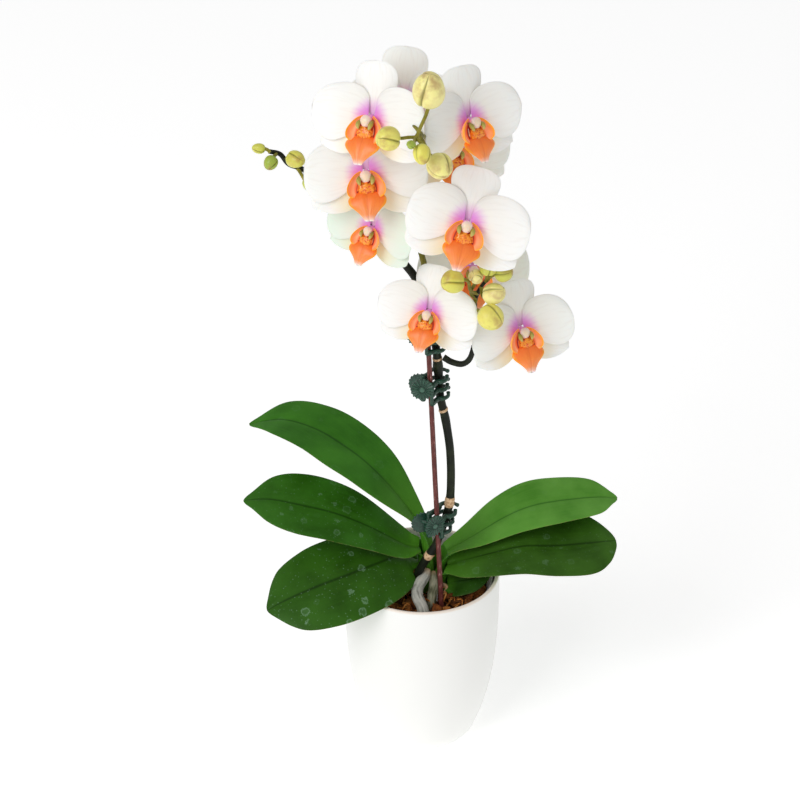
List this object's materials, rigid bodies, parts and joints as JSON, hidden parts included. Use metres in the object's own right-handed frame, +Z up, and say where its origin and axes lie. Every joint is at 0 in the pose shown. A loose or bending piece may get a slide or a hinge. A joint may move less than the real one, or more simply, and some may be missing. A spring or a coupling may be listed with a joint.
{
  "type": "potted orchid",
  "caption": "Small moth orchid in a white cover pot: broad leaves and a branched spike of white flowers with orange lips, tied to a stake by daisy clips.",
  "frame": {"origin": "middle of the flat foot of the cover pot, on the surface the pot stands on", "axes": "+Z up along the pot's axis, -Y the front that most flowers face, +X to the right of someone looking at the front"},
  "size_m": [0.2439, 0.1472, 0.5105],
  "materials": {
    "pot_glaze": "white glossy glaze, cream at the rim",
    "grow_pot_plastic": "thin clear grow pot, dulled grey by roots and mix",
    "bark": "coarse orange-brown bark chips with pale strands",
    "stake_coat": "reddish brown coated wire with pale speckles",
    "clip_plastic": "dark green moulded plastic, half matte",
    "dark_stem": "dark green living stem, satin, tan scars at the nodes",
    "olive_stem": "olive living stem and flower stalks, satin",
    "petal": "white petals and sepals, pink-lilac at the root, golden edges, soft satin",
    "lip": "orange waxy lip with a crimson throat and red spots",
    "bud": "yellow-green waxy buds, blushed brown-pink at the tip",
    "leaf_sheath": "pale green clasping leaf bases",
    "leaf": "thick waxy leaf, mid to dark green, satin",
    "root": "silvery spongy aerial root skin, tan where dry"
  },
  "bodies": {
    "root": {"bark_mix": "bark", "branch_centre": "olive_stem", "branch_right": "dark_stem", "bud_left_1": "bud", "bud_left_2": "bud", "bud_left_3": "bud", "bud_left_4": "bud", "bud_right_1": "bud", "bud_right_2": "bud", "bud_right_3": "bud", "bud_right_4": "bud", "bud_right_5": "bud", "bud_right_6": "bud", "bud_top_1": "bud", "bud_top_2": "bud", "bud_top_3": "bud", "bud_top_4": "bud", "bud_top_5": "bud", "clip_lower": "clip_plastic", "clip_middle": "clip_plastic", "clip_upper": "clip_plastic", "crown": "leaf_sheath", "flower_01_lip": "lip", "flower_01_petals": "petal", "flower_02_lip": "lip", "flower_02_petals": "petal", "flower_03_lip": "lip", "flower_03_petals": "petal", "flower_04_lip": "lip", "flower_04_petals": "petal", "flower_05_lip": "lip", "flower_05_petals": "petal", "flower_06_lip": "lip", "flower_06_petals": "petal", "flower_07_lip": "lip", "flower_07_petals": "petal", "flower_08_lip": "lip", "flower_08_petals": "petal", "flower_09_lip": "lip", "flower_09_petals": "petal", "flower_10_lip": "lip", "flower_10_petals": "petal", "grow_pot": "grow_pot_plastic", "leaf_left_front": "leaf", "leaf_left_middle": "leaf", "leaf_left_top": "leaf", "leaf_right_middle": "leaf", "leaf_right_small": "leaf", "leaf_right_top": "leaf", "pot": "pot_glaze", "root_long": "root", "root_middle": "root", "root_thin": "root", "spike": "dark_stem", "stake": "stake_coat"}
  },
  "joints": []
}
